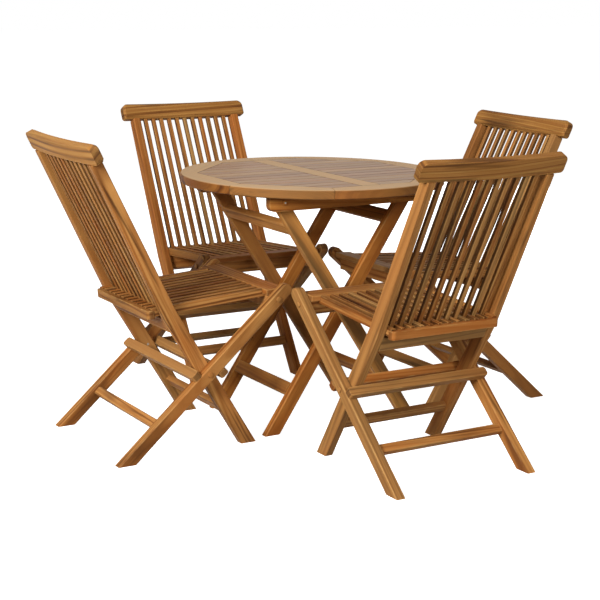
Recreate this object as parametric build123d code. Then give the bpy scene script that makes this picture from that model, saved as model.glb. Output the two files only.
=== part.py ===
from build123d import *
from math import atan2, cos, pi, radians, sin, sqrt, tan
import os

# Round folding table with four folding chairs, all in teak. Millimetres, +Z up, ground at Z = 0.
# The table stands on the origin with its slats along X; the chairs stand on the X and Y axes.

# ---- table ----
table_height = 750.0
top_radius = 400.0
rim_width = 77.0              # from the flats of the octagonal opening to the outer edge
rim_thickness = 27.0
rim_ease = 3.0
slat_thickness = 20.0
slats_a_side = 13
slat_gap = 4.0
mitre_gap = 0.5               # hairline at each glued joint of the top
centre_board_width = 60.0
bearer_length = 560.0
bearer_thickness = 22.0
bearer_depth = 46.0
bearer_end_round = 18.0
batten_width = 42.0
batten_thickness = 17.0
batten_x = -120.0
stop_batten_x = 238.0         # cross batten that the inner legs stand against
table_leg_width = 42.0
table_leg_thickness = 24.0
table_foot_x = 236.0          # leg centre line where it meets the ground
top_hinge_x = -231.0
top_hinge_drop = 48.0         # from the table top down to the hinge bolts
base_width = 410.0            # over the outer legs
table_rail_height = 40.0
table_rail_thickness = 22.0
upper_rail_z = 625.0
lower_rail_z = 120.0

# ---- chair: y runs from the sitter's knees to the back, z up ----
chair_height = 890.0
front_foot_y = -207.0
rear_foot_y = 192.0
bend_y = 42.0                 # stile centre line at its bend, level with the seat
bend_z = 405.0
head_y = 281.0                # stile centre line at the chair's full height
leg_top_y = -327.0
leg_top_z = 460.0
stile_width = 42.0            # seen from the side, up to the bend
stile_top_width = 34.0        # under the head rail
leg_width = 36.0
stile_thickness = 26.0
leg_thickness = 29.0
back_width = 406.0            # over the stiles
head_rail_length = 466.0
head_rail_height = 54.0
head_rail_thickness = 28.0
head_rail_bow = 8.0           # the middle lies this far behind the ends
head_rail_top_corner = 20.0
head_rail_low_corner = 9.0
head_rail_round = 7.0         # along the edges of its front and rear faces
back_slats = 11
back_slat_width = 14.0
back_slat_thickness = 12.0
comb_gap = 16.3               # between two back slats; a seat slat passes through it
lower_rail_height = 46.0
lower_rail_thickness = 26.0
lower_rail_inset = 3.0        # in front of the stiles' rear faces
front_rail_height = 30.0
front_rail_thickness = 20.0
front_rail_z = 106.0
stop_rail_width = 28.0
stop_rail_thickness = 20.0
stop_rail_end_round = 9.0
foot_rail_height = 27.0
foot_rail_thickness = 20.0
foot_rail_z = 94.0
seat_pivot_reach = 294.0      # from the crossing bolt to the seat bolt, along the leg
seat_pivot_drop = 26.0        # from the seat surface down to the seat bolt
seat_fall = 4.0               # degrees, down towards the back
seat_rail_depth = 24.0
seat_slat_thickness = 18.0
front_board_reach = 38.0      # in front of the seat bolt
front_board_depth = 59.0
front_board_thickness = 16.0
front_board_round = 8.0
apron_depth = 41.0
apron_thickness = 24.0
rear_board_depth = 20.0
rear_board_thickness = 24.0
rear_board_length = 356.0
rear_board_clear = 6.0        # behind the stiles, taken up while the chair folds
rear_board_round = 12.0
rear_lap_length = 9.0         # the slats' ends lie this far over the rear board
rear_lap_height = 5.0
chair_offset_x = 537.0        # from the table's centre to each chair's middle
chair_offset_y = 602.0

# ---- shared ----
running_gap = 0.5             # between pieces that slide past each other
touch_gap = 0.3               # between a moving piece and its rest
side_gap = 1.0                # washer between two frames
edge_ease = 2.5
slat_edge = 1.5
bolt_radius = 4.0
bolt_clearance = 0.05
bolt_head_radius = 7.5
bolt_head_height = 2.0
bolt_grip = 34.0              # length of a seat bolt in the seat's apron

# ---- worked out from the sizes above ----
half_stile = stile_width / 2
half_stile_top = stile_top_width / 2
half_leg = leg_width / 2
inner_half = back_width / 2 - stile_thickness
leg_inner = back_width / 2 + side_gap
leg_outer = leg_inner + leg_thickness
slat_pitch = back_slat_width + comb_gap
seat_slat_width = comb_gap - 2 * running_gap
comb_half = (back_slats * back_slat_width + (back_slats - 1) * comb_gap) / 2
seat_rail_thickness = inner_half - comb_half - 2 * running_gap

stile_slope = (bend_y - front_foot_y) / bend_z
leg_slope = (leg_top_y - rear_foot_y) / leg_top_z
cross_z = (rear_foot_y - front_foot_y) / (stile_slope - leg_slope)
cross_y = front_foot_y + stile_slope * cross_z
stile_angle = atan2(stile_slope, 1)              # from the vertical, leaning back
back_angle = atan2(head_y - bend_y, chair_height - bend_z)
leg_angle = atan2(-leg_slope, 1)                 # from the vertical, leaning forward
open_angle = stile_angle + leg_angle
head_bottom_s = (chair_height - bend_z) / cos(back_angle) - head_rail_height
leg_top_s = (leg_top_z - cross_z) / cos(leg_angle)

seat_pivot_y = cross_y - seat_pivot_reach * sin(leg_angle)
seat_pivot_z = cross_z + seat_pivot_reach * cos(leg_angle)
seat_angle = pi / 2 - back_angle + radians(seat_fall)      # between the seat and the stiles' upper part
seat_pivot_s = (seat_pivot_y - bend_y) * sin(back_angle) + (seat_pivot_z - bend_z) * cos(back_angle)
seat_pivot_n = (seat_pivot_y - bend_y) * cos(back_angle) - (seat_pivot_z - bend_z) * sin(back_angle)
seat_under = seat_pivot_drop - seat_rail_depth
board_under = seat_pivot_drop - front_board_thickness
rear_board_t = (half_stile + rear_board_clear - seat_pivot_n
                + seat_pivot_drop * cos(seat_angle)) / sin(seat_angle)

lower_rail_rear = half_stile - lower_rail_inset
lower_rail_front = lower_rail_rear - lower_rail_thickness
under_t = (lower_rail_front - seat_pivot_n + seat_under * cos(seat_angle)) / sin(seat_angle)
lower_rail_s = (seat_pivot_s + under_t * cos(seat_angle) + seat_under * sin(seat_angle)
                - touch_gap / sin(seat_angle))
stop_rail_s = (half_leg * cos(open_angle) - half_stile - touch_gap) / sin(open_angle)

table_lean = atan2(table_foot_x - top_hinge_x, table_height - top_hinge_drop)
table_cross_z = table_foot_x / tan(table_lean)
half_table_leg = table_leg_width / 2
outer_leg_inside = base_width / 2 - table_leg_thickness
inner_leg_outside = outer_leg_inside - side_gap
inner_leg_inside = inner_leg_outside - table_leg_thickness
bearer_inside = base_width / 2 + side_gap
rim_opening = 2 * (top_radius - rim_width)       # across the flats of the octagon inside the rim
octagon_reach = rim_opening / sqrt(2)            # |x| + |y| along the octagon's slanted sides
slat_under_z = table_height - slat_thickness
rim_under_z = table_height - rim_thickness
batten_under_z = slat_under_z - batten_thickness

# Side-view planes, seen from +X or -X: local x runs along the member, local y to its rear or upper face.
side_view = Plane(origin=(0, 0, 0), x_dir=(0, 1, 0), z_dir=(1, 0, 0))
stile_plane = Plane(origin=(0, cross_y, cross_z), x_dir=(0, sin(stile_angle), cos(stile_angle)),
                    z_dir=(-1, 0, 0))
back_plane = Plane(origin=(0, bend_y, bend_z), x_dir=(0, sin(back_angle), cos(back_angle)), z_dir=(-1, 0, 0))
leg_plane = Plane(origin=(0, cross_y, cross_z), x_dir=(0, -sin(leg_angle), cos(leg_angle)), z_dir=(-1, 0, 0))
seat_plane = Plane(origin=(0, seat_pivot_y, seat_pivot_z),
                   x_dir=(0, cos(radians(seat_fall)), -sin(radians(seat_fall))), z_dir=(1, 0, 0))
outer_plane = Plane(origin=(0, 0, table_cross_z), x_dir=(0, -sin(table_lean), cos(table_lean)),
                    z_dir=(-1, 0, 0))
inner_plane = Plane(origin=(0, 0, table_cross_z), x_dir=(0, sin(table_lean), cos(table_lean)),
                    z_dir=(-1, 0, 0))


# ---- shared forms ----
def level_cut(lean, origin_z, across, level=0.0):
    """Place along a leaning member where a line at this distance from its middle meets a level."""
    return (level - origin_z + across * sin(lean)) / cos(lean)


def bar(plane, along, across, half_length, ease=edge_ease):
    """Straight rail across the frame, centred on its middle plane, with eased long edges."""
    middle = Pos((along[0] + along[1]) / 2, (across[0] + across[1]) / 2, 0)
    rail = plane * middle * Box(along[1] - along[0], across[1] - across[0], 2 * half_length)
    return chamfer(rail.edges().filter_by(Axis.X), ease)


def beside(plane, outline, inner, thickness, side):
    """Extrude a side view outwards from an inner face on the +X or the -X side."""
    offset = side * plane.z_dir.X * (inner + thickness / 2)
    return plane * Pos(0, 0, offset) * extrude(outline, thickness / 2, both=True)


def plate(plane, points, inner, thickness, side, ease=0):
    """Flat piece with a straight-sided side view, on one side of the middle."""
    piece = beside(plane, make_face(Polyline(*points, close=True)), inner, thickness, side)
    if ease:
        piece = ease_sides(piece, ease)
    return piece


def ease_sides(piece, ease=edge_ease):
    """Ease the edges of the two side faces, all but those on the ground."""
    edges = [edge for edge in piece.faces().filter_by(Axis.X).edges() if edge.center().Z > ease]
    return chamfer(edges, ease)


def round_topped(plane, foot_points, end_s, half_width, inner, thickness, side):
    """Leg with its foot cut to the ground and a half-round top end."""
    foot_low, foot_high = foot_points
    start_s = end_s - half_width
    sides = Polyline((start_s, half_width), (foot_high, half_width), (foot_low, -half_width),
                     (start_s, -half_width))
    top = ThreePointArc((start_s, -half_width), (end_s, 0), (start_s, half_width))
    return ease_sides(beside(plane, make_face(sides + top), inner, thickness, side))


def bore(x_from, x_to, y, z):
    """Round bolt hole along X."""
    hole = Cylinder(bolt_radius + bolt_clearance, abs(x_to - x_from), rotation=(0, 90, 0))
    return Pos((x_from + x_to) / 2, y, z) * hole


def bolt(x_tip, x_head, y, z):
    """Bolt along X with a thin round head; x_head is where the head meets the wood."""
    side = 1 if x_head > x_tip else -1
    length = abs(x_head - x_tip)
    upwards = (Align.CENTER, Align.CENTER, Align.MIN)
    head = Cylinder(bolt_head_radius, bolt_head_height, align=upwards)
    whole = Cylinder(bolt_radius, length, align=upwards) + Pos(0, 0, length) * head
    return Pos(x_tip, y, z) * Rot(0, 90 * side, 0) * whole


# ---- chair, back frame ----
def behind(y, z, lean, along, across):
    """Side-view point at a distance along and behind a line that leans back from the vertical."""
    return (y + along * sin(lean) + across * cos(lean), z + along * cos(lean) - across * sin(lean))


def stiles():
    """Posts that bend at the seat and taper from there up to the head rail."""
    bisector = (stile_angle + back_angle) / 2
    mitre = half_stile / cos(bisector - back_angle)
    rear = [behind(cross_y, cross_z, stile_angle, level_cut(stile_angle, cross_z, half_stile), half_stile),
            behind(bend_y, bend_z, bisector, 0, mitre),
            behind(bend_y, bend_z, back_angle, head_bottom_s, half_stile_top)]
    front = [behind(bend_y, bend_z, back_angle, head_bottom_s, -half_stile_top),
             behind(bend_y, bend_z, bisector, 0, -mitre),
             behind(cross_y, cross_z, stile_angle, level_cut(stile_angle, cross_z, -half_stile), -half_stile)]
    posts = []
    for side in (-1, 1):
        post = plate(side_view, rear + front, inner_half, stile_thickness, side, edge_ease)
        posts.append(post - bore(side * inner_half, side * back_width / 2, cross_y, cross_z))
    return posts


def bow_at(x):
    """How far the head rail's centre line lies behind the plane of the stiles."""
    stile_x = (back_width - stile_thickness) / 2
    return head_rail_bow * (stile_x ** 2 - x ** 2) / (head_rail_length / 2) ** 2


def head_rail():
    half = head_rail_length / 2
    thick = head_rail_thickness / 2
    front = ThreePointArc((-half, bow_at(half) - thick), (0, bow_at(0) - thick), (half, bow_at(half) - thick))
    rear = ThreePointArc((half, bow_at(half) + thick), (0, bow_at(0) + thick), (-half, bow_at(half) + thick))
    plan = make_face(front + Line(front @ 1, rear @ 0) + rear + Line(rear @ 1, front @ 0))
    bowed = extrude(plan, head_rail_height)
    corners = bowed.edges().filter_by(Axis.Y).group_by(Axis.Z)
    bowed = fillet(corners[-1], head_rail_top_corner)
    bowed = fillet(bowed.edges().filter_by(Axis.Y).group_by(Axis.Z)[0], head_rail_low_corner)
    for face in bowed.faces().filter_by(GeomType.CYLINDER).sort_by(SortBy.AREA)[-2:]:
        bowed = chamfer(face.edges(), head_rail_round)
    on_stiles = Plane(origin=back_plane.from_local_coords((head_bottom_s, 0, 0)), x_dir=(1, 0, 0),
                      z_dir=(0, sin(back_angle), cos(back_angle)))
    return [on_stiles * bowed]


def back_slat_row():
    """Slats between the back's two rails; each leans back a little to meet the bowed head rail."""
    half = back_slat_thickness / 2
    row = []
    for index in range(back_slats):
        x = (index - (back_slats - 1) / 2) * slat_pitch
        bow = bow_at(x)
        outline = Polyline((lower_rail_s, -half), (head_bottom_s, bow - half), (head_bottom_s, bow + half),
                           (lower_rail_s, half), close=True)
        slat = extrude(make_face(outline), back_slat_width / 2, both=True)
        edges = slat.faces().filter_by(Axis.Z).edges()
        long_edges = [edge for edge in edges if edge.length > back_slat_width]
        row.append(back_plane * Pos(0, 0, x) * chamfer(long_edges, slat_edge))
    return row


def back_rails():
    """Rail under the slats, which also carries the seat, and rail between the front feet."""
    along = (lower_rail_s - lower_rail_height, lower_rail_s)
    lower = bar(back_plane, along, (lower_rail_front, lower_rail_rear), inner_half, slat_edge)
    front_s = level_cut(stile_angle, cross_z, 0, front_rail_z)
    front = bar(stile_plane, (front_s - front_rail_height / 2, front_s + front_rail_height / 2),
                (-front_rail_thickness / 2, front_rail_thickness / 2), inner_half)
    return [lower, front]


# ---- chair, leg frame ----
def legs():
    foot = [level_cut(-leg_angle, cross_z, across) for across in (-half_leg, half_leg)]
    pair = []
    for side in (-1, 1):
        leg = round_topped(leg_plane, foot, leg_top_s, half_leg, leg_inner, leg_thickness, side)
        leg = leg - bore(side * leg_inner, side * leg_outer, cross_y, cross_z)
        pair.append(leg - bore(side * leg_inner, side * leg_outer, seat_pivot_y, seat_pivot_z))
    return pair


def leg_rails():
    """Two stop rails, which rest against the stiles from both sides, and rail at the rear feet."""
    upright = Axis((0, 0, 0), (0, cos(leg_angle), sin(leg_angle)))
    rails = []
    for side in (-1, 1):
        along = side * (stop_rail_s - stop_rail_width / 2)
        centre = Pos(along, side * (half_leg + stop_rail_thickness / 2), 0)
        stop = leg_plane * centre * Box(stop_rail_width, stop_rail_thickness, 2 * leg_outer)
        rails.append(fillet(stop.edges().filter_by(upright), stop_rail_end_round))
    foot_s = level_cut(-leg_angle, cross_z, 0, foot_rail_z)
    foot = bar(leg_plane, (foot_s - foot_rail_height / 2, foot_s + foot_rail_height / 2),
               (-foot_rail_thickness / 2, foot_rail_thickness / 2), leg_inner)
    return rails + [foot]


def bolts():
    """Two bolts where the frames cross and two that carry the seat's front end."""
    group = []
    for side in (-1, 1):
        group.append(bolt(side * (inner_half + side_gap), side * leg_outer, cross_y, cross_z))
        group.append(bolt(side * (leg_inner - bolt_grip), side * leg_outer, seat_pivot_y, seat_pivot_z))
    return group


# ---- chair, seat ----
def lapped_outline(top, bottom):
    """Side view of a seat member that laps under the front board and over the rear board."""
    board_rear = front_board_depth - front_board_reach
    apron_rear = apron_thickness / 2
    lap_end = rear_board_t + rear_lap_length
    return [(apron_rear, bottom), (rear_board_t, bottom), (rear_board_t, top - rear_lap_height),
            (lap_end, top - rear_lap_height), (lap_end, top), (board_rear, top),
            (board_rear, board_under), (apron_rear, board_under)]


def seat_rails():
    outline = lapped_outline(seat_pivot_drop, seat_under)
    inner = comb_half + running_gap
    return [plate(seat_plane, outline, inner, seat_rail_thickness, side, slat_edge) for side in (-1, 1)]


def seat_slat_row():
    """Slats that run front to back and pass between the back's slats like a comb."""
    outline = lapped_outline(seat_pivot_drop, seat_pivot_drop - seat_slat_thickness)
    slat = extrude(make_face(Polyline(*outline, close=True)), seat_slat_width / 2, both=True)
    top_edges = slat.faces().filter_by(Axis.Z).edges().filter_by(Axis.X).group_by(Axis.Y)[-1]
    slat = chamfer(top_edges, slat_edge)
    gaps = back_slats - 1
    return [seat_plane * Pos(0, 0, (index - (gaps - 1) / 2) * slat_pitch) * slat for index in range(gaps)]


def seat_front_board():
    centre = Pos(front_board_depth / 2 - front_board_reach, board_under + front_board_thickness / 2, 0)
    board = centre * Box(front_board_depth, front_board_thickness, 2 * (leg_inner - running_gap))
    front_corners = board.edges().filter_by(Axis.Y).group_by(Axis.X)[0]
    board = fillet(front_corners, front_board_round)
    board = chamfer(board.faces().sort_by(Axis.Y)[-1].edges(), slat_edge)
    return [seat_plane * board]


def seat_apron():
    half_length = leg_inner - running_gap
    along = (-apron_thickness / 2, apron_thickness / 2)
    apron = bar(seat_plane, along, (board_under - apron_depth, board_under), half_length, slat_edge)
    for side in (-1, 1):
        inmost = side * (leg_inner - bolt_grip)
        apron = apron - bore(inmost, side * (half_length + side_gap), seat_pivot_y, seat_pivot_z)
    return [apron]


def seat_rear_board():
    """Board behind the stiles that ties the seat's slats together and hooks the seat in."""
    top = seat_pivot_drop - rear_lap_height
    centre = Pos(rear_board_t + rear_board_depth / 2, top - rear_board_thickness / 2, 0)
    board = centre * Box(rear_board_depth, rear_board_thickness, rear_board_length)
    board = fillet(board.edges().filter_by(Axis.Y).group_by(Axis.X)[-1], rear_board_round)
    return [seat_plane * board]


# ---- table top ----
def octagon(across_flats):
    corner = across_flats / 2 / cos(pi / 8)
    angles = [pi / 8 + index * pi / 4 for index in range(8)]
    return make_face(Polyline(*[(corner * cos(angle), corner * sin(angle)) for angle in angles], close=True))


def rim():
    """Eight segments round an octagonal opening, mitred at its corners and turned to a circle outside."""
    inner_x = rim_opening / 2
    inner_y = inner_x * tan(pi / 8) - mitre_gap / 2 / cos(pi / 8)
    end_angle = pi / 8 - mitre_gap / 2 / top_radius
    end_x = top_radius * cos(end_angle)
    end_y = top_radius * sin(end_angle)
    sides = Polyline((end_x, -end_y), (inner_x, -inner_y), (inner_x, inner_y), (end_x, end_y))
    outside = ThreePointArc((end_x, end_y), (top_radius, 0), (end_x, -end_y))
    segment = extrude(make_face(sides + outside), rim_thickness)
    segment = chamfer(segment.edges().filter_by(GeomType.CIRCLE), rim_ease)
    return [Rot(0, 0, 45 * index) * Pos(0, 0, rim_under_z) * segment for index in range(8)]


def centre_board():
    board = Box(centre_board_width, rim_opening - 2 * mitre_gap, slat_thickness)
    board = chamfer(board.faces().sort_by(Axis.Z)[-1].edges(), mitre_gap)
    return [Pos(0, 0, slat_under_z + slat_thickness / 2) * board]


def top_slats():
    """Slats on both sides of the centre board, cut to the octagon."""
    pitch = rim_opening / slats_a_side
    inner_x = centre_board_width / 2 + mitre_gap
    length = rim_opening / 2 - inner_x
    inside = octagon(rim_opening - 2 * mitre_gap)
    slats = []
    for side in (-1, 1):
        for index in range(slats_a_side):
            y = (index - (slats_a_side - 1) / 2) * pitch
            strip = Pos(side * (inner_x + length / 2), y, 0) * Rectangle(length, pitch - slat_gap)
            slats.append(Pos(0, 0, slat_under_z) * extrude(strip & inside, slat_thickness))
    return slats


def battens():
    """Cross battens between the bearers and inside the rim; the inner legs stand against the second."""
    pair = []
    for x in (batten_x, stop_batten_x):
        inside_rim = octagon_reach - abs(x) - batten_width / 2 - side_gap
        batten = Box(batten_width, 2 * min(bearer_inside - mitre_gap, inside_rim), batten_thickness)
        batten = chamfer(batten.edges().filter_by(Axis.Y), slat_edge)
        pair.append(Pos(x, 0, slat_under_z - batten_thickness / 2) * batten)
    return pair


def bearers():
    """Rails under the top that carry the hinge bolts; their middles rise past the rim to the slats."""
    end = bearer_length / 2
    low = rim_under_z - bearer_depth
    notch = octagon_reach - bearer_inside - bearer_thickness - 2 * side_gap
    outline = [(-end, low), (end, low), (end, rim_under_z), (notch, rim_under_z), (notch, slat_under_z),
               (-notch, slat_under_z), (-notch, rim_under_z), (-end, rim_under_z)]
    pair = []
    for side in (-1, 1):
        bearer = plate(side_view, outline, bearer_inside, bearer_thickness, side)
        low_corners = bearer.edges().filter_by(Axis.X).group_by(Axis.Z)[0]
        bearer = fillet(low_corners, bearer_end_round)
        hinge = bore(side * bearer_inside, side * (bearer_inside + bearer_thickness), top_hinge_x,
                     table_height - top_hinge_drop)
        pair.append(bearer - hinge)
    return pair


# ---- table base ----
def outer_legs():
    foot = [level_cut(-table_lean, table_cross_z, across) for across in (-half_table_leg, half_table_leg)]
    hinge_z = table_height - top_hinge_drop
    top_s = level_cut(-table_lean, table_cross_z, 0, hinge_z) + half_table_leg
    pair = []
    for side in (-1, 1):
        leg = round_topped(outer_plane, foot, top_s, half_table_leg, outer_leg_inside,
                           table_leg_thickness, side)
        leg = leg - bore(side * outer_leg_inside, side * base_width / 2, 0, table_cross_z)
        pair.append(leg - bore(side * outer_leg_inside, side * base_width / 2, top_hinge_x, hinge_z))
    return pair


def inner_legs():
    corners = []
    for across, level in ((-half_table_leg, 0), (-half_table_leg, batten_under_z - touch_gap),
                          (half_table_leg, batten_under_z - touch_gap), (half_table_leg, 0)):
        corners.append((level_cut(table_lean, table_cross_z, across, level), across))
    pair = []
    for side in (-1, 1):
        leg = plate(inner_plane, corners, inner_leg_inside, table_leg_thickness, side)
        long_edges = leg.edges().filter_by(Axis((0, 0, 0), (0, sin(table_lean), cos(table_lean))))
        leg = chamfer(long_edges, edge_ease)
        pair.append(leg - bore(side * inner_leg_inside, side * inner_leg_outside, 0, table_cross_z))
    return pair


def frame_rails(plane, lean, half_length, upper_face):
    """Upper and lower rail of a table frame, each at the face that the other frame turns away from."""
    rails = []
    for level, face in ((upper_rail_z, upper_face), (lower_rail_z, -upper_face)):
        middle = level_cut(lean, table_cross_z, 0, level)
        across = sorted((face * half_table_leg, face * (half_table_leg - table_rail_thickness)))
        along = (middle - table_rail_height / 2, middle + table_rail_height / 2)
        rails.append(bar(plane, along, across, half_length))
    return rails


def outer_rails():
    return frame_rails(outer_plane, -table_lean, outer_leg_inside, -1)


def inner_rails():
    return frame_rails(inner_plane, table_lean, inner_leg_inside, 1)


def hinge_bolts():
    z = table_height - top_hinge_drop
    tip = outer_leg_inside + side_gap
    return [bolt(side * tip, side * (bearer_inside + bearer_thickness), top_hinge_x, z) for side in (-1, 1)]


def cross_bolts():
    head_x = base_width / 2 + touch_gap
    return [bolt(side * inner_leg_inside, side * head_x, 0, table_cross_z) for side in (-1, 1)]


# ---- the whole set ----
chair_pieces = {"stiles": stiles, "head_rail": head_rail, "back_slats": back_slat_row,
                "back_rails": back_rails, "legs": legs, "leg_rails": leg_rails, "bolts": bolts,
                "seat_rails": seat_rails, "seat_slats": seat_slat_row, "seat_front_board": seat_front_board,
                "seat_apron": seat_apron, "seat_rear_board": seat_rear_board}
top_pieces = {"table_rim": rim, "table_centre_board": centre_board, "table_slats": top_slats,
              "table_battens": battens}
# these are drawn with the frames' side view in the YZ plane, as the chairs are, and turned to lie along X
turned_pieces = {"table_bearers": bearers, "table_outer_legs": outer_legs, "table_outer_rails": outer_rails,
                 "table_inner_legs": inner_legs, "table_inner_rails": inner_rails,
                 "table_hinge_bolts": hinge_bolts, "table_cross_bolts": cross_bolts}
chair_places = {"north": Pos(0, chair_offset_y, 0), "west": Pos(-chair_offset_x, 0, 0) * Rot(0, 0, 90),
                "south": Pos(0, -chair_offset_y, 0) * Rot(0, 0, 180),
                "east": Pos(chair_offset_x, 0, 0) * Rot(0, 0, -90)}


def write_node(name, solids, place=Pos(0, 0, 0)):
    placed = [place * solid for group in solids for solid in group.solids()]
    export_step(placed[0] if len(placed) == 1 else Compound(children=placed), f"parts/{name}.step")


os.makedirs("parts", exist_ok=True)
for name, make in top_pieces.items():
    write_node(name, make())
for name, make in turned_pieces.items():
    write_node(name, make(), Rot(0, 0, -90))
for piece, make in chair_pieces.items():
    solids = make()
    for place_name, place in chair_places.items():
        write_node(f"{place_name}_chair_{piece}", solids, place)
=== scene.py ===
from math import cos, pi, radians, sin

import bmesh
import bpy
import numpy as np
from mathutils import Matrix, Vector


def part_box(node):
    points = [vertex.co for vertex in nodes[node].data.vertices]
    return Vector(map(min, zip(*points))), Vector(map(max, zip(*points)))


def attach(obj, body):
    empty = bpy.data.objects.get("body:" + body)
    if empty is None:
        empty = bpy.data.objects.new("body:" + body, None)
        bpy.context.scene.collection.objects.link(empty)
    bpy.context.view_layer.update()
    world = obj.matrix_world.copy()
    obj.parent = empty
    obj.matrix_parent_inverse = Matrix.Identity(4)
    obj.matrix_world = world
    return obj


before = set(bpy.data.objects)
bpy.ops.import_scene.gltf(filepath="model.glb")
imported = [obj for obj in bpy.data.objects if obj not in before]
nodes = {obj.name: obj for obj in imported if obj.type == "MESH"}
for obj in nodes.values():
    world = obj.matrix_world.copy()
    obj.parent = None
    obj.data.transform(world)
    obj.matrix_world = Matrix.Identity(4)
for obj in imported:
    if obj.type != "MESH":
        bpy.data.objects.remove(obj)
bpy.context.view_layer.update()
chairNames = ("north", "west", "south", "east")
rng = np.random.default_rng(2185)


class Wire:
    # wraps an output socket so that shader maths reads as plain expressions
    def __init__(self, shader, socket):
        self.shader = shader
        self.socket = socket

    def math(self, operation, *others):
        sockets = {0: self, **dict(enumerate(others, 1))}
        return self.shader.add("ShaderNodeMath", {"operation": operation}, sockets)

    def __add__(self, other):
        return self.math("ADD", other)

    def __sub__(self, other):
        return self.math("SUBTRACT", other)

    def __rsub__(self, other):
        return self.shader.add("ShaderNodeMath", {"operation": "SUBTRACT"}, {0: other, 1: self})

    def __mul__(self, other):
        return self.math("MULTIPLY", other)

    def __pow__(self, other):
        return self.math("POWER", other)

    def __abs__(self):
        return self.math("ABSOLUTE")

    __radd__ = __add__
    __rmul__ = __mul__

    def least(self, other):
        return self.math("MINIMUM", other)

    def most(self, other):
        return self.math("MAXIMUM", other)

    def sibling(self, name):  # another output of the same node
        return Wire(self.shader, self.socket.node.outputs[name])


class Shader:
    # the nodes of one material, or of the world
    def __init__(self, owner, ending="ShaderNodeOutputMaterial"):
        self.owner = owner
        self.ending = ending
        owner.use_nodes = True
        self.tree = owner.node_tree
        self.tree.nodes.clear()

    def add(self, kind, settings=None, sockets=None, out=0):
        node = self.tree.nodes.new(kind)
        for key, value in (settings or {}).items():
            setattr(node, key, value)
        for key, value in (sockets or {}).items():
            if isinstance(value, Wire):
                self.tree.links.new(value.socket, node.inputs[key])
            else:
                node.inputs[key].default_value = value
        return Wire(self, node.outputs[out]) if node.outputs else None

    def noise(self, vector, detail):
        return self.add("ShaderNodeTexNoise", None, {"Vector": vector, "Scale": 1.0, "Detail": detail})

    def noiseLine(self, value, scale, detail):
        return self.add("ShaderNodeTexNoise", {"noise_dimensions": "1D"},
                        {"W": value, "Scale": scale, "Detail": detail})

    def span(self, value, low, high):  # smooth step from low to high
        return self.add("ShaderNodeMapRange", {"interpolation_type": "SMOOTHSTEP"},
                        {"Value": value, "From Min": low, "From Max": high})

    def mix(self, amount, first, second, blend="MIX"):
        return self.add("ShaderNodeMix", {"data_type": "RGBA", "blend_type": blend},
                        {0: amount, 6: first, 7: second}, out=2)

    def vector(self, operation, *values, out=0):
        return self.add("ShaderNodeVectorMath", {"operation": operation}, dict(enumerate(values)), out=out)

    def turned(self, first, second):  # 1 where two directions lie along one line, 0 where they are square
        return abs(self.vector("DOT_PRODUCT", first, second, out=1))

    def parts(self, vector):
        split = self.add("ShaderNodeSeparateXYZ", None, {0: vector})
        return split, split.sibling("Y"), split.sibling("Z")

    def join(self, x, y, z):
        return self.add("ShaderNodeCombineXYZ", None, {0: x, 1: y, 2: z})

    def attribute(self, name):
        return self.add("ShaderNodeAttribute", {"attribute_name": name}, out=1)

    def coordinates(self, name):
        return self.add("ShaderNodeTexCoord").sibling(name)

    def bump(self, height, strength, distance, **normal):
        sockets = {"Height": height, "Strength": strength, "Distance": distance, **normal}
        return self.add("ShaderNodeBump", None, sockets)

    def close(self, shaded):
        self.add(self.ending, None, {"Surface": shaded})
        return self.owner

    def surface(self, sockets):
        return self.close(self.add("ShaderNodeBsdfPrincipled", None, sockets))


def tone(red, green, blue):  # a colour written as it is seen, on a scale of 255, for the shader
    linear = [c / 255 / 12.92 if c <= 10 else ((c / 255 + 0.055) / 1.055) ** 2.4 for c in (red, green, blue)]
    return (*linear, 1.0)


boardFrames = {}  # for each wooden node: middle, axes, half sizes and chance values of its boards


def readPoints(mesh):
    points = np.empty(len(mesh.vertices) * 3, np.float32)
    mesh.vertices.foreach_get("co", points)
    return points.reshape(-1, 3)


def findBoards(mesh):
    # number of the board that each vertex belongs to; vertices at one place are one
    points = readPoints(mesh)
    _, same = np.unique(np.round(points, 6), axis=0, return_inverse=True)
    same = same.reshape(-1)
    leader = list(range(same.max() + 1))

    def root(i):
        while leader[i] != i:
            leader[i] = leader[leader[i]]
            i = leader[i]
        return i

    edges = np.empty(len(mesh.edges) * 2, np.int32)
    mesh.edges.foreach_get("vertices", edges)
    for a, b in same[edges.reshape(-1, 2)]:
        leader[root(a)] = root(b)
    roots = np.array([root(i) for i in range(len(leader))])
    _, boards = np.unique(roots, return_inverse=True)
    return points, boards.reshape(-1)[same]


def boardAxes(points):
    # grain along the longest way, then across the board's width
    middle = points.mean(0)
    spread = np.linalg.svd(np.unique(np.round(points - middle, 5), axis=0), full_matrices=False)[2]
    axes = np.array([spread[0], spread[1], np.cross(spread[0], spread[1])])
    local = (points - middle) @ axes.T
    low, high = local.min(0), local.max(0)
    return middle + (low + high) / 2 @ axes, axes, (high - low) / 2


def writeGrain(mesh, points, boards, frames, row=(0, 0, 0)):
    # place in the board, half sizes, chance values, grain axis and the way of its row, for each vertex
    layers = {"boardPlace": [], "boardHalf": [], "boardSeed": [], "boardAxis": [], "boardRow": []}
    for point, board in zip(points, boards):
        middle, axes, half, seed = frames[board]
        layers["boardPlace"].append(axes @ (point - middle))
        layers["boardHalf"].append(half)
        layers["boardSeed"].append(seed)
        layers["boardAxis"].append(axes[0])
        layers["boardRow"].append(row)
    for name, values in layers.items():
        layer = mesh.attributes.new(name, "FLOAT_VECTOR", "POINT")
        layer.data.foreach_set("vector", np.array(values, np.float32).ravel())


def rowWay(name):
    # the slats of a chair stand side by side along X or along Y
    if not name.endswith(("back_slats", "seat_slats")):
        return (0, 0, 0)
    return (1, 0, 0) if name.startswith(("north", "south")) else (0, 1, 0)


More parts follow.
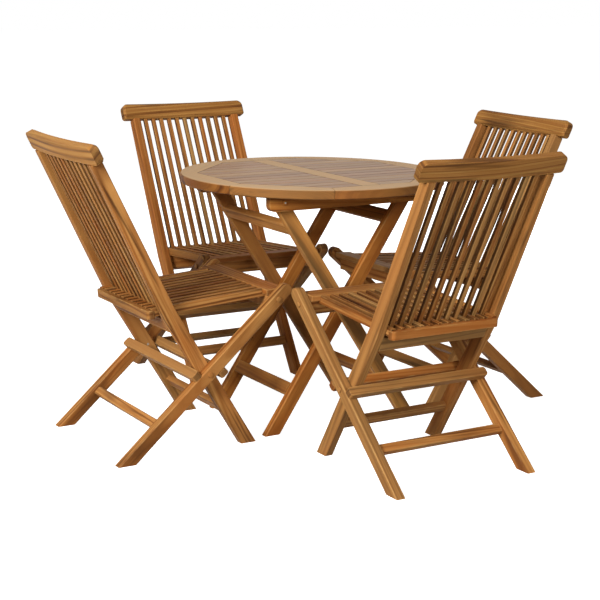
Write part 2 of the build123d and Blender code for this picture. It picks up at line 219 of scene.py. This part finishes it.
def markBoards(name, mesh):
    # gives each board its own grain
    points, boards = findBoards(mesh)
    frames = []
    for board in range(boards.max() + 1):
        frames.append((*boardAxes(points[boards == board]), rng.random(3)))
    boardFrames[name] = frames
    writeGrain(mesh, points, boards, frames, rowWay(name))


# how teak grows, the same in every finish; lengths in metres
grain = {"pithNear": 0.03, "pithFar": 0.12,  # how far the pith lies from the board's middle
         "pithLean": 0.10, "pithAside": 0.05, "waver": 0.010,
         # from one ring to the next, how far chance moves the rings, and their detail
         "rings": (0.0105, 3.0, 2.5), "fineRings": (0.0021, 5.0, 1.5),
         # how often a pattern changes in a metre, along the board and across it, and its detail
         "waves": (2.2, 16.0, 2.0), "streaks": (3.6, 74.0, 3.0), "pores": (38.0, 1500.0, 1.0),
         "drift": (3.5, 12.0, 2.0), "patches": (30.0, 60.0, 2.0),
         "shift": (7.3, 5.1, 3.7),  # takes each board to its own part of a pattern
         # where in its noise each mark begins and is full
         "softRing": (0.30, 0.66), "hardRing": (0.54, 0.74), "fineRing": (0.45, 0.75),
         "streak": (0.50, 0.78), "pore": (0.62, 0.80), "warmDrift": (0.42, 0.72),
         "darkDrift": (0.26, 0.46), "wearHighlightPatches": (0.30, 0.70),
         "fineDepth": 0.40, "poreDepth": 0.30, "driftDepth": 0.45,
         # which boards are warm or pale, and how square a face lies to an end, a row or the sky
         "warmBoard": (0.45, 1.0), "paleBoard": (0.55, 1.0),
         "cutEnd": (0.75, 0.95), "rowSide": (0.60, 0.95), "skyward": (0.55, 0.95),
         "sharpEdge": 0.0005, "jointLine": (0.0004, 0.0022),
         # how unevenly the painted shade lies between the slats, and how unevenly the upper faces pale by
         # sun bleaching and painted sheen
         "shadeSpread": 0.4, "bleachSheenSpread": 0.5,
         "streakRough": 0.22, "poreRough": 0.10, "wornRough": 0.08, "coatRough": 0.32,
         # strength and depth; rings stand half as high as streaks
         "poreBump": (0.25, 0.0003), "ringBump": (0.30, 0.0005), "ringHeight": 0.5}


def teak(name, look):
    wood = Shader(bpy.data.materials.new(name))
    place = wood.attribute("boardPlace")
    seeds = wood.attribute("boardSeed")
    x, y, z = wood.parts(place)
    seedA, seedB, seedC = wood.parts(seeds)
    halfX, halfY, halfZ = wood.parts(wood.attribute("boardHalf"))
    shift = wood.vector("MULTIPLY", seeds, grain["shift"])

    def pattern(kind):
        along, across, detail = grain[kind]
        stretched = wood.vector("MULTIPLY", place, (along, across, across))
        return wood.noise(wood.vector("ADD", stretched, shift), detail)

    def near(value, spread):  # a factor round 1 that follows the value
        return value * spread + (1 - spread / 2)

    # growth rings round a pith line that lies outside the board and leans a little
    pith = seedA * (grain["pithFar"] - grain["pithNear"]) + grain["pithNear"]
    away = pith + y + x * ((seedB - 0.5) * grain["pithLean"])
    side = z + (seedC - 0.5) * grain["pithAside"]
    radius = (away * away + side * side) ** 0.5 + (pattern("waves") - 0.5) * grain["waver"]

    def rounds(kind):
        width, start, detail = grain[kind]
        return wood.noiseLine(radius + seedC * start, 1.0 / width, detail)

    rings = rounds("rings")
    fineRings = rounds("fineRings")

    # long streaks, fine pores, and slow change of colour along the board
    streaks = pattern("streaks")
    pores = pattern("pores")
    drift = pattern("drift")
    colour = wood.mix(wood.span(rings, *grain["softRing"]), look["light"], look["middle"])
    colour = wood.mix(wood.span(fineRings, *grain["fineRing"]) * grain["fineDepth"], colour, look["middle"])
    colour = wood.mix(wood.span(rings, *grain["hardRing"]) * look["ringDepth"], colour, look["dark"])
    colour = wood.mix(wood.span(streaks, *grain["streak"]) * look["streakDepth"], colour, look["dark"])
    colour = wood.mix(wood.span(pores, *grain["pore"]) * grain["poreDepth"], colour, look["dark"])
    colour = wood.mix(wood.span(drift, *grain["warmDrift"]) * grain["driftDepth"], colour, look["warm"])
    patch = 1.0 - wood.span(drift, *grain["darkDrift"])
    colour = wood.mix(patch * look["patchDepth"], colour, look["dark"])

    # each board has its own warmth, paleness and depth
    colour = wood.mix(wood.span(seedB, *grain["warmBoard"]) * look["boardWarm"], colour, look["warm"])
    colour = wood.mix(wood.span(seedC, *grain["paleBoard"]) * look["boardPale"], colour, look["pale"])
    value = near((seedA * 7.0).math("FRACT"), look["boardSpread"])  # the pith's chance value, reshuffled
    colour = wood.mix(1.0, colour, wood.join(value, value, value), "MULTIPLY")

    # cut ends drink more oil and show darker
    normal = wood.coordinates("Normal")
    cutEnd = wood.span(wood.turned(normal, wood.attribute("boardAxis")), *grain["cutEnd"])
    colour = wood.mix(cutEnd * look["endDepth"], colour, look["dark"])

    # arrises paler, partly from real handling wear and partly as a painted highlight
    gapX = halfX - abs(x)
    gapY = halfY - abs(y)
    gapZ = halfZ - abs(z)
    nearEdge = gapX.least(gapY).most(gapX.most(gapY).least(gapZ))
    atEdge = 1.0 - wood.span(nearEdge, grain["sharpEdge"], look["wearHighlightReach"])
    wearAndHighlight = atEdge * wood.span(pattern("patches"), *grain["wearHighlightPatches"])
    colour = wood.mix(wearAndHighlight * look["wearHighlightDepth"], colour, look["pale"])

    # painted shade: the faces between two slats are darkened where little light reaches them
    between = wood.span(wood.turned(normal, wood.attribute("boardRow")), *grain["rowSide"])
    colour = wood.mix(between * near(drift, grain["shadeSpread"]) * look["between"], colour, look["dark"])

    # upper faces paler, partly from sun bleaching and partly as a painted sheen; and darker lines along the
    # board edges of the upper faces
    if look["bleachAndSheen"]:
        upward = wood.span(wood.parts(normal)[2], *grain["skyward"])
        bleachSheenMask = upward * near(streaks, grain["bleachSheenSpread"])
        colour = wood.mix(bleachSheenMask * look["bleachAndSheen"], colour, look["bleachSheenTone"])
        atJoint = 1.0 - wood.span(gapX.least(gapY), *grain["jointLine"])
        colour = wood.mix(atJoint * upward * look["joint"], colour, look["dark"])

    dull = streaks * grain["streakRough"] + pores * grain["poreRough"] + look["rough"]
    rough = (dull + wearAndHighlight * grain["wornRough"]).least(1.0)
    fine = wood.bump(pores, *grain["poreBump"])
    wavy = wood.bump(rings * grain["ringHeight"] + streaks, *grain["ringBump"], Normal=fine)
    return wood.surface({"Base Color": colour, "Roughness": rough, "Normal": wavy,
                         "Coat Weight": look["coat"], "Coat Roughness": grain["coatRough"],
                         "Specular IOR Level": look["specular"]})


# depths say how far a mark goes from the wood's own colour to the dark, warm or pale one
oiledLook = {"light": tone(178, 126, 68), "middle": tone(138, 86, 39), "dark": tone(48, 23, 9),
             "warm": tone(154, 86, 32), "pale": tone(190, 150, 92),
             "ringDepth": 0.62, "streakDepth": 0.85, "patchDepth": 0.45, "endDepth": 0.50, "between": 0.62,
             "boardSpread": 0.40, "boardWarm": 0.50, "boardPale": 0.36, "wearHighlightDepth": 0.45, "wearHighlightReach": 0.0045,
             "rough": 0.46, "coat": 0.0, "specular": 0.10, "bleachAndSheen": 0.0, "joint": 0.0}
headLook = dict(oiledLook, light=tone(178, 130, 68), warm=tone(146, 96, 42), pale=tone(176, 136, 82),
                boardWarm=0.15, boardPale=0.15, boardSpread=0.16, ringDepth=0.75)
frameLook = dict(oiledLook, light=tone(188, 126, 58), middle=tone(160, 98, 40),
                 boardSpread=0.24, boardPale=0.2)
rimLook = dict(oiledLook, light=tone(138, 88, 38), middle=tone(108, 62, 23), rough=0.40, boardSpread=0.10,
               boardWarm=0.15, boardPale=0.2, ringDepth=0.55, bleachAndSheen=0.76, bleachSheenTone=tone(222, 184, 138),
               wearHighlightDepth=0.0, joint=0.85)
topLook = dict(rimLook, light=tone(166, 116, 70), middle=tone(124, 80, 45), warm=tone(124, 74, 38),
               rough=0.32, coat=0.10, specular=0.30, boardSpread=0.50, boardPale=0.5, ringDepth=0.60,
               bleachAndSheen=0.38, bleachSheenTone=tone(170, 132, 94))
chairTeak = teak("chairTeak", oiledLook)
headTeak = teak("headTeak", headLook)
frameTeak = teak("frameTeak", frameLook)
topTeak = teak("topTeak", topLook)
rimTeak = teak("rimTeak", rimLook)
print("teak is mixed")

# weld and width in metres, flat and corner in degrees
edgeLook = {"weld": 0.00001, "flat": 0.6, "width": 0.0011, "steps": 2, "corner": 25.0, "smoothing": 60}


def roundOff(piece):
    # eased, softly shaded edges; a sanded piece has no sharp line
    weld = piece.modifiers.new("weld", "WELD")
    weld.merge_threshold = edgeLook["weld"]
    flat = piece.modifiers.new("flat", "DECIMATE")
    flat.decimate_type = "DISSOLVE"
    flat.angle_limit = radians(edgeLook["flat"])
    soft = piece.modifiers.new("soft", "BEVEL")
    soft.width = edgeLook["width"]
    soft.segments = edgeLook["steps"]
    soft.limit_method = "ANGLE"
    soft.angle_limit = radians(edgeLook["corner"])
    soft.use_clamp_overlap = True
    shade = piece.modifiers.new("shade", "WEIGHTED_NORMAL")
    shade.weight = edgeLook["smoothing"]
    shade.keep_sharp = False


def dress(piece, material):
    piece.data.materials.clear()
    piece.data.materials.append(material)
    for face in piece.data.polygons:
        face.material_index = 0
        face.use_smooth = True


def woodOf(name):
    if name in ("table_rim", "table_centre_board"):
        return rimTeak
    if name == "table_slats":
        return topTeak
    if name.startswith("table"):
        return frameTeak
    return headTeak if name.endswith("head_rail") else chairTeak


for name in sorted(nodes):
    if "bolts" not in name:
        markBoards(name, nodes[name].data)
        dress(nodes[name], woodOf(name))
        roundOff(nodes[name])
print("boards are dressed")

steelLook = {"bright": tone(176, 168, 152), "dull": tone(120, 108, 90), "rough": 0.30, "brushing": 0.18,
             "brushMarks": (400.0, 2600.0, 2600.0), "stains": (90.0, 90.0, 90.0), "stain": (0.35, 0.75),
             "detail": 3.0, "bump": (0.15, 0.0001)}


def boltSteel():
    metal = Shader(bpy.data.materials.new("boltSteel"))
    place = metal.coordinates("Object")
    brushed = metal.noise(metal.vector("MULTIPLY", place, steelLook["brushMarks"]), steelLook["detail"])
    stained = metal.noise(metal.vector("MULTIPLY", place, steelLook["stains"]), steelLook["detail"])
    colour = metal.mix(metal.span(stained, *steelLook["stain"]), steelLook["bright"], steelLook["dull"])
    return metal.surface({"Base Color": colour, "Metallic": 1.0,
                          "Roughness": brushed * steelLook["brushing"] + steelLook["rough"],
                          "Normal": metal.bump(brushed, *steelLook["bump"])})


steel = boltSteel()
for name in sorted(nodes):
    if "bolts" in name:
        dress(nodes[name], steel)

# a cap is wider than its bolt head, sunk round it, and stands over it with a dome on top
capLook = {"steps": 28, "rings": 5}
plugLook = {"wider": 0.0008, "sunk": 0.002, "over": 0.0006, "dome": 0.0012}
pinLook = {"radius": 0.0028, "wider": 0.0, "sunk": 0.0006, "over": 0.0004, "dome": 0.0010}


def headEnds(bolts, centre):
    # for each bolt: the middle of the end that looks away from the centre, its way, and its radius
    points, groups = findBoards(bolts.data)
    for group in range(groups.max() + 1):
        mine = points[groups == group]
        low, high = mine.min(0), mine.max(0)
        along = int(np.argmax(high - low))
        middle = (low + high) / 2
        side = 1.0 if middle[along] > centre[along] else -1.0
        way = np.zeros(3)
        way[along] = side
        end = middle.copy()
        end[along] = high[along] if side > 0 else low[along]
        wide = [axis for axis in range(3) if axis != along][0]
        yield end, way, (high - low)[wide] / 2


def addCap(built, end, way, radius, look):
    # one shallow turned cap, from its hidden lower edge up to the middle of its dome
    steps = capLook["steps"]
    up = Vector((0, 0, 1))
    across = way.cross(up)
    wide = radius + look["wider"]
    profile = [(wide, -look["sunk"]), (wide, look["over"])]
    for ring in range(1, capLook["rings"]):
        angle = ring / capLook["rings"] * pi / 2
        profile.append((wide * cos(angle), look["over"] + look["dome"] * sin(angle)))
    loops = []
    for distance, lift in profile:
        loop = []
        for step in range(steps):
            turn = 2 * pi * step / steps
            spoke = up * cos(turn) + across * sin(turn)
            loop.append(built.verts.new(end + spoke * distance + way * lift))
        loops.append(loop)
    top = built.verts.new(end + way * (look["over"] + look["dome"]))
    around = [(step, (step + 1) % steps) for step in range(steps)]
    for lower, upper in zip(loops, loops[1:]):
        for step, after in around:
            built.faces.new((lower[step], lower[after], upper[after], upper[step]))
    for step, after in around:
        built.faces.new((loops[-1][step], loops[-1][after], top))
    built.faces.new(loops[0][::-1])


def capMesh(name, heads, look):
    built = bmesh.new()
    for end, way, radius in heads:
        addCap(built, Vector(end), Vector(way), radius, look)
    bmesh.ops.recalc_face_normals(built, faces=built.faces)
    mesh = bpy.data.meshes.new(name)
    built.to_mesh(mesh)
    built.free()
    return mesh


def addPiece(name, mesh, material, body):
    piece = bpy.data.objects.new(name, mesh)
    bpy.context.scene.collection.objects.link(piece)
    dress(piece, material)
    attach(piece, body)


def nearestBoards(points, frames):
    # which board each point is nearest to
    outside = []
    for middle, axes, half, _ in frames:
        local = np.abs((points - middle) @ axes.T) - half
        outside.append(np.linalg.norm(np.maximum(local, 0), axis=1))
    return np.argmin(np.array(outside), axis=0)


def addPlugs(name, boltNode, woodNode, body, material, centre):
    # wooden plugs whose grain runs on from the board that they sit in
    mesh = capMesh(name, headEnds(nodes[boltNode], centre), plugLook)
    frames = boardFrames[woodNode]
    points = readPoints(mesh)
    writeGrain(mesh, points, nearestBoards(points, frames), frames)
    addPiece(name, mesh, material, body)


def addPins(name, boltNode, body, centre):
    # small steel pins in the middle of the plugs
    lift = plugLook["over"] + plugLook["dome"]
    ends = headEnds(nodes[boltNode], centre)
    heads = [(end + way * lift, way, pinLook["radius"]) for end, way, _ in ends]
    addPiece(name, capMesh(name, heads, pinLook), steel, body)


for chair in chairNames:
    low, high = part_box(f"{chair}_chair_stiles")
    middle = [(a + b) / 2 for a, b in zip(low, high)]
    name = f"{chair}_chair"
    addPlugs(f"{name}_plugs", f"{name}_bolts", f"{name}_legs", f"{name}_leg_frame", chairTeak, middle)
tableCentre = (0, 0, 0)  # the table stands on the frame's origin
addPlugs("table_cross_plugs", "table_cross_bolts", "table_outer_legs", "table_base", frameTeak, tableCentre)
addPlugs("table_hinge_plugs", "table_hinge_bolts", "table_bearers", "table_top", frameTeak, tableCentre)
addPins("table_hinge_pins", "table_hinge_bolts", "table_top", tableCentre)
print("bolts and plugs are dressed")

# seen and glow make the ground white to the eye, bounce is what it throws back on the furniture
floorLook = {"half": 30, "seen": 0.9, "glow": 0.90, "bounce": 0.16, "rough": 0.9}
white = (1.0, 1.0, 1.0, 1.0)


def grey(level):
    return (level, level, level, 1.0)


def addFloor():
    grid = bmesh.new()
    bmesh.ops.create_grid(grid, x_segments=1, y_segments=1, size=floorLook["half"])
    mesh = bpy.data.meshes.new("floor")
    grid.to_mesh(mesh)
    grid.free()
    floor = bpy.data.objects.new("floor", mesh)
    bpy.context.scene.collection.objects.link(floor)
    ground = Shader(bpy.data.materials.new("paleFloor"))
    rays = ground.add("ShaderNodeLightPath")
    seen = rays.most(rays.sibling("Is Glossy Ray"))
    bright = ground.add("ShaderNodeBsdfPrincipled", None,
                        {"Base Color": grey(floorLook["seen"]), "Roughness": floorLook["rough"],
                         "Specular IOR Level": 0.0, "Emission Color": white,
                         "Emission Strength": floorLook["glow"]})
    matt = ground.add("ShaderNodeBsdfDiffuse", None, {"Color": grey(floorLook["bounce"])})
    either = ground.add("ShaderNodeMixShader", None, {0: seen, 1: matt, 2: bright})
    mesh.materials.append(ground.close(either))


worldLook = {"strength": 0.12, "seen": 1.0}


def addWorld():
    world = bpy.data.worlds.new("studio")
    bpy.context.scene.world = world
    sky = Shader(world, "ShaderNodeOutputWorld")
    rays = sky.add("ShaderNodeLightPath")
    seen = rays.most(rays.sibling("Is Glossy Ray"))
    strength = seen * (worldLook["seen"] - worldLook["strength"]) + worldLook["strength"]
    sky.close(sky.add("ShaderNodeBackground", None, {"Color": white, "Strength": strength}))


lamps = {"key": {"place": (-4.2, -1.8, 2.4), "power": 284.0, "size": 1.6},
         "fill": {"place": (-0.6, -4.7, 2.0), "power": 106.0, "size": 2.2},
         "back": {"place": (4.0, 3.4, 1.3), "power": 120.0, "size": 2.6}}
lampTarget = (0, 0, 0.45)


def addLamp(name):
    light = bpy.data.lights.new(name, "AREA")
    light.energy = lamps[name]["power"]
    light.size = lamps[name]["size"]
    lamp = bpy.data.objects.new(name, light)
    bpy.context.scene.collection.objects.link(lamp)
    lamp.location = lamps[name]["place"]
    lamp.rotation_euler = (Vector(lampTarget) - lamp.location).to_track_quat("-Z", "Y").to_euler()
    return lamp


# back, aside and height in metres, the turns in degrees, lens and sensor in millimetres
cameraLook = {"back": 4.5033, "aside": 0.0332, "height": 1.3281, "heading": 31.171, "pitch": 12.2275,
              "roll": 0.694, "lens": 89.466, "sensor": 36.0}


def addCamera():
    data = bpy.data.cameras.new("camera")
    data.lens = cameraLook["lens"]
    data.sensor_width = cameraLook["sensor"]
    camera = bpy.data.objects.new("camera", data)
    bpy.context.scene.collection.objects.link(camera)
    turn = Matrix.Rotation(radians(-cameraLook["heading"]), 4, "Z")
    tip = Matrix.Rotation(radians(90.0 - cameraLook["pitch"]), 4, "X")
    level = Matrix.Rotation(radians(cameraLook["roll"]), 4, "Z")
    stand = Matrix.Translation((-cameraLook["aside"], -cameraLook["back"], cameraLook["height"]))
    camera.matrix_world = turn @ stand @ tip @ level
    bpy.context.scene.camera = camera


addFloor()
addWorld()
addLamp("key")
addLamp("fill")
addLamp("back").visible_glossy = False  # it lights the far side and leaves no shine on the table
addCamera()
bpy.context.scene.view_settings.view_transform = "Standard"
print("floor, light and camera stand")
